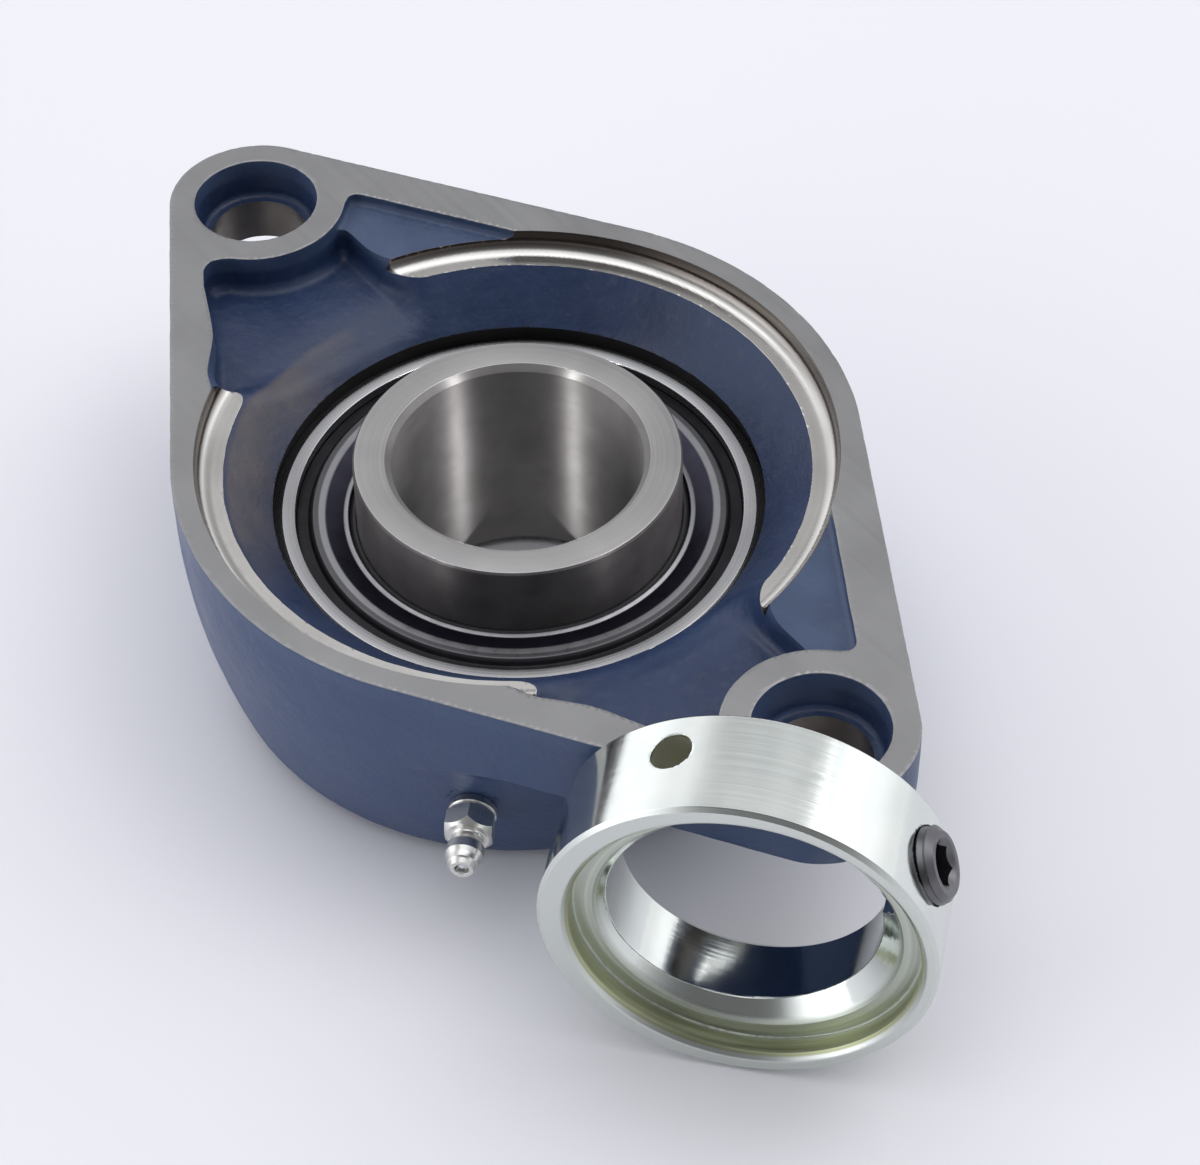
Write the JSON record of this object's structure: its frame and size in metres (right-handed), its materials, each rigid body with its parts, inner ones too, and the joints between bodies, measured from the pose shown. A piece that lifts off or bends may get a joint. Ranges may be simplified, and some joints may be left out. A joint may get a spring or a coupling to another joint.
{
  "type": "flange mount bearing",
  "caption": "Two-bolt flanged bearing unit: cast housing, self-aligning sealed ball insert, grease nipple and a loose eccentric locking collar with its set screw.",
  "frame": {"origin": "on the bearing axis, in the plane of the machined mounting face, midway between the two bolt holes", "axes": "+Z along the bearing axis out of the mounting face, +X through the two bolt holes towards the lug beside the loose collar"},
  "size_m": [0.175, 0.0952, 0.0513],
  "materials": {
    "cast_paint": "satin",
    "ground_steel": "satin",
    "ring_steel": "polished",
    "ball_steel": "polished",
    "cage_steel": "satin",
    "rivet_steel": "satin",
    "seal_steel": "satin",
    "seal_rubber": "matte",
    "washer_steel": "satin",
    "zinc": "satin",
    "zinc_chromate": "satin",
    "black_oxide": "satin",
    "spring_steel": "satin"
  },
  "bodies": {
    "housing": {"housing": "cast_paint", "grease_nipple": "zinc", "nipple_spring": "spring_steel"},
    "insert": {"outer_ring": "ground_steel", "upper_seal_washer": "seal_steel", "upper_seal_lip": "seal_rubber", "upper_seal_backing": "washer_steel", "lower_seal_washer": "seal_steel", "lower_seal_lip": "seal_rubber", "lower_seal_backing": "washer_steel"},
    "inner": {"inner_ring": "ring_steel"},
    "cage": {"cage_upper": "cage_steel", "cage_lower": "cage_steel", "cage_rivets": "rivet_steel", "ball_1": "ball_steel", "ball_2": "ball_steel", "ball_3": "ball_steel", "ball_4": "ball_steel", "ball_5": "ball_steel", "ball_6": "ball_steel", "ball_7": "ball_steel", "ball_8": "ball_steel", "ball_9": "ball_steel"},
    "collar": {"locking_collar": "zinc_chromate"},
    "screw": {"set_screw": "black_oxide"},
    "check_ball": {"nipple_ball": "ball_steel"}
  },
  "joints": [
    {"name": "insert_align", "type": "hinge", "parent": "housing", "child": "insert", "pos_m": [0, 0, -0.021], "axis": [1, 0, 0], "range_deg": [-2.5, 2.5]},
    {"name": "shaft_spin", "type": "hinge", "parent": "insert", "child": "inner", "pos_m": [0, 0, -0.021], "axis": [0, 0, 1], "continuous": true},
    {"name": "cage_orbit", "type": "hinge", "parent": "insert", "child": "cage", "pos_m": [0, 0, -0.021], "axis": [0, 0, 1], "continuous": true},
    {"name": "collar_slide", "type": "slide", "parent": "housing", "child": "collar", "axis": [0.6521, -0.7581, 0], "range_m": [0, 0.06]},
    {"name": "set_screw_drive", "type": "slide", "parent": "collar", "child": "screw", "axis": [-0.6769, -0.5913, -0.4383], "range_m": [-0.003, 0.0016]},
    {"name": "check_ball_press", "type": "slide", "parent": "housing", "child": "check_ball", "axis": [-0.7133, 0.7009, 0], "range_m": [0, 0.0008], "stiffness_N_per_m": 300, "springref_m": -0.001, "deforming": ["nipple_spring"]}
  ],
  "couplings": [
    {"joint": "cage_orbit", "follows": "shaft_spin", "ratio": 0.3961}
  ]
}
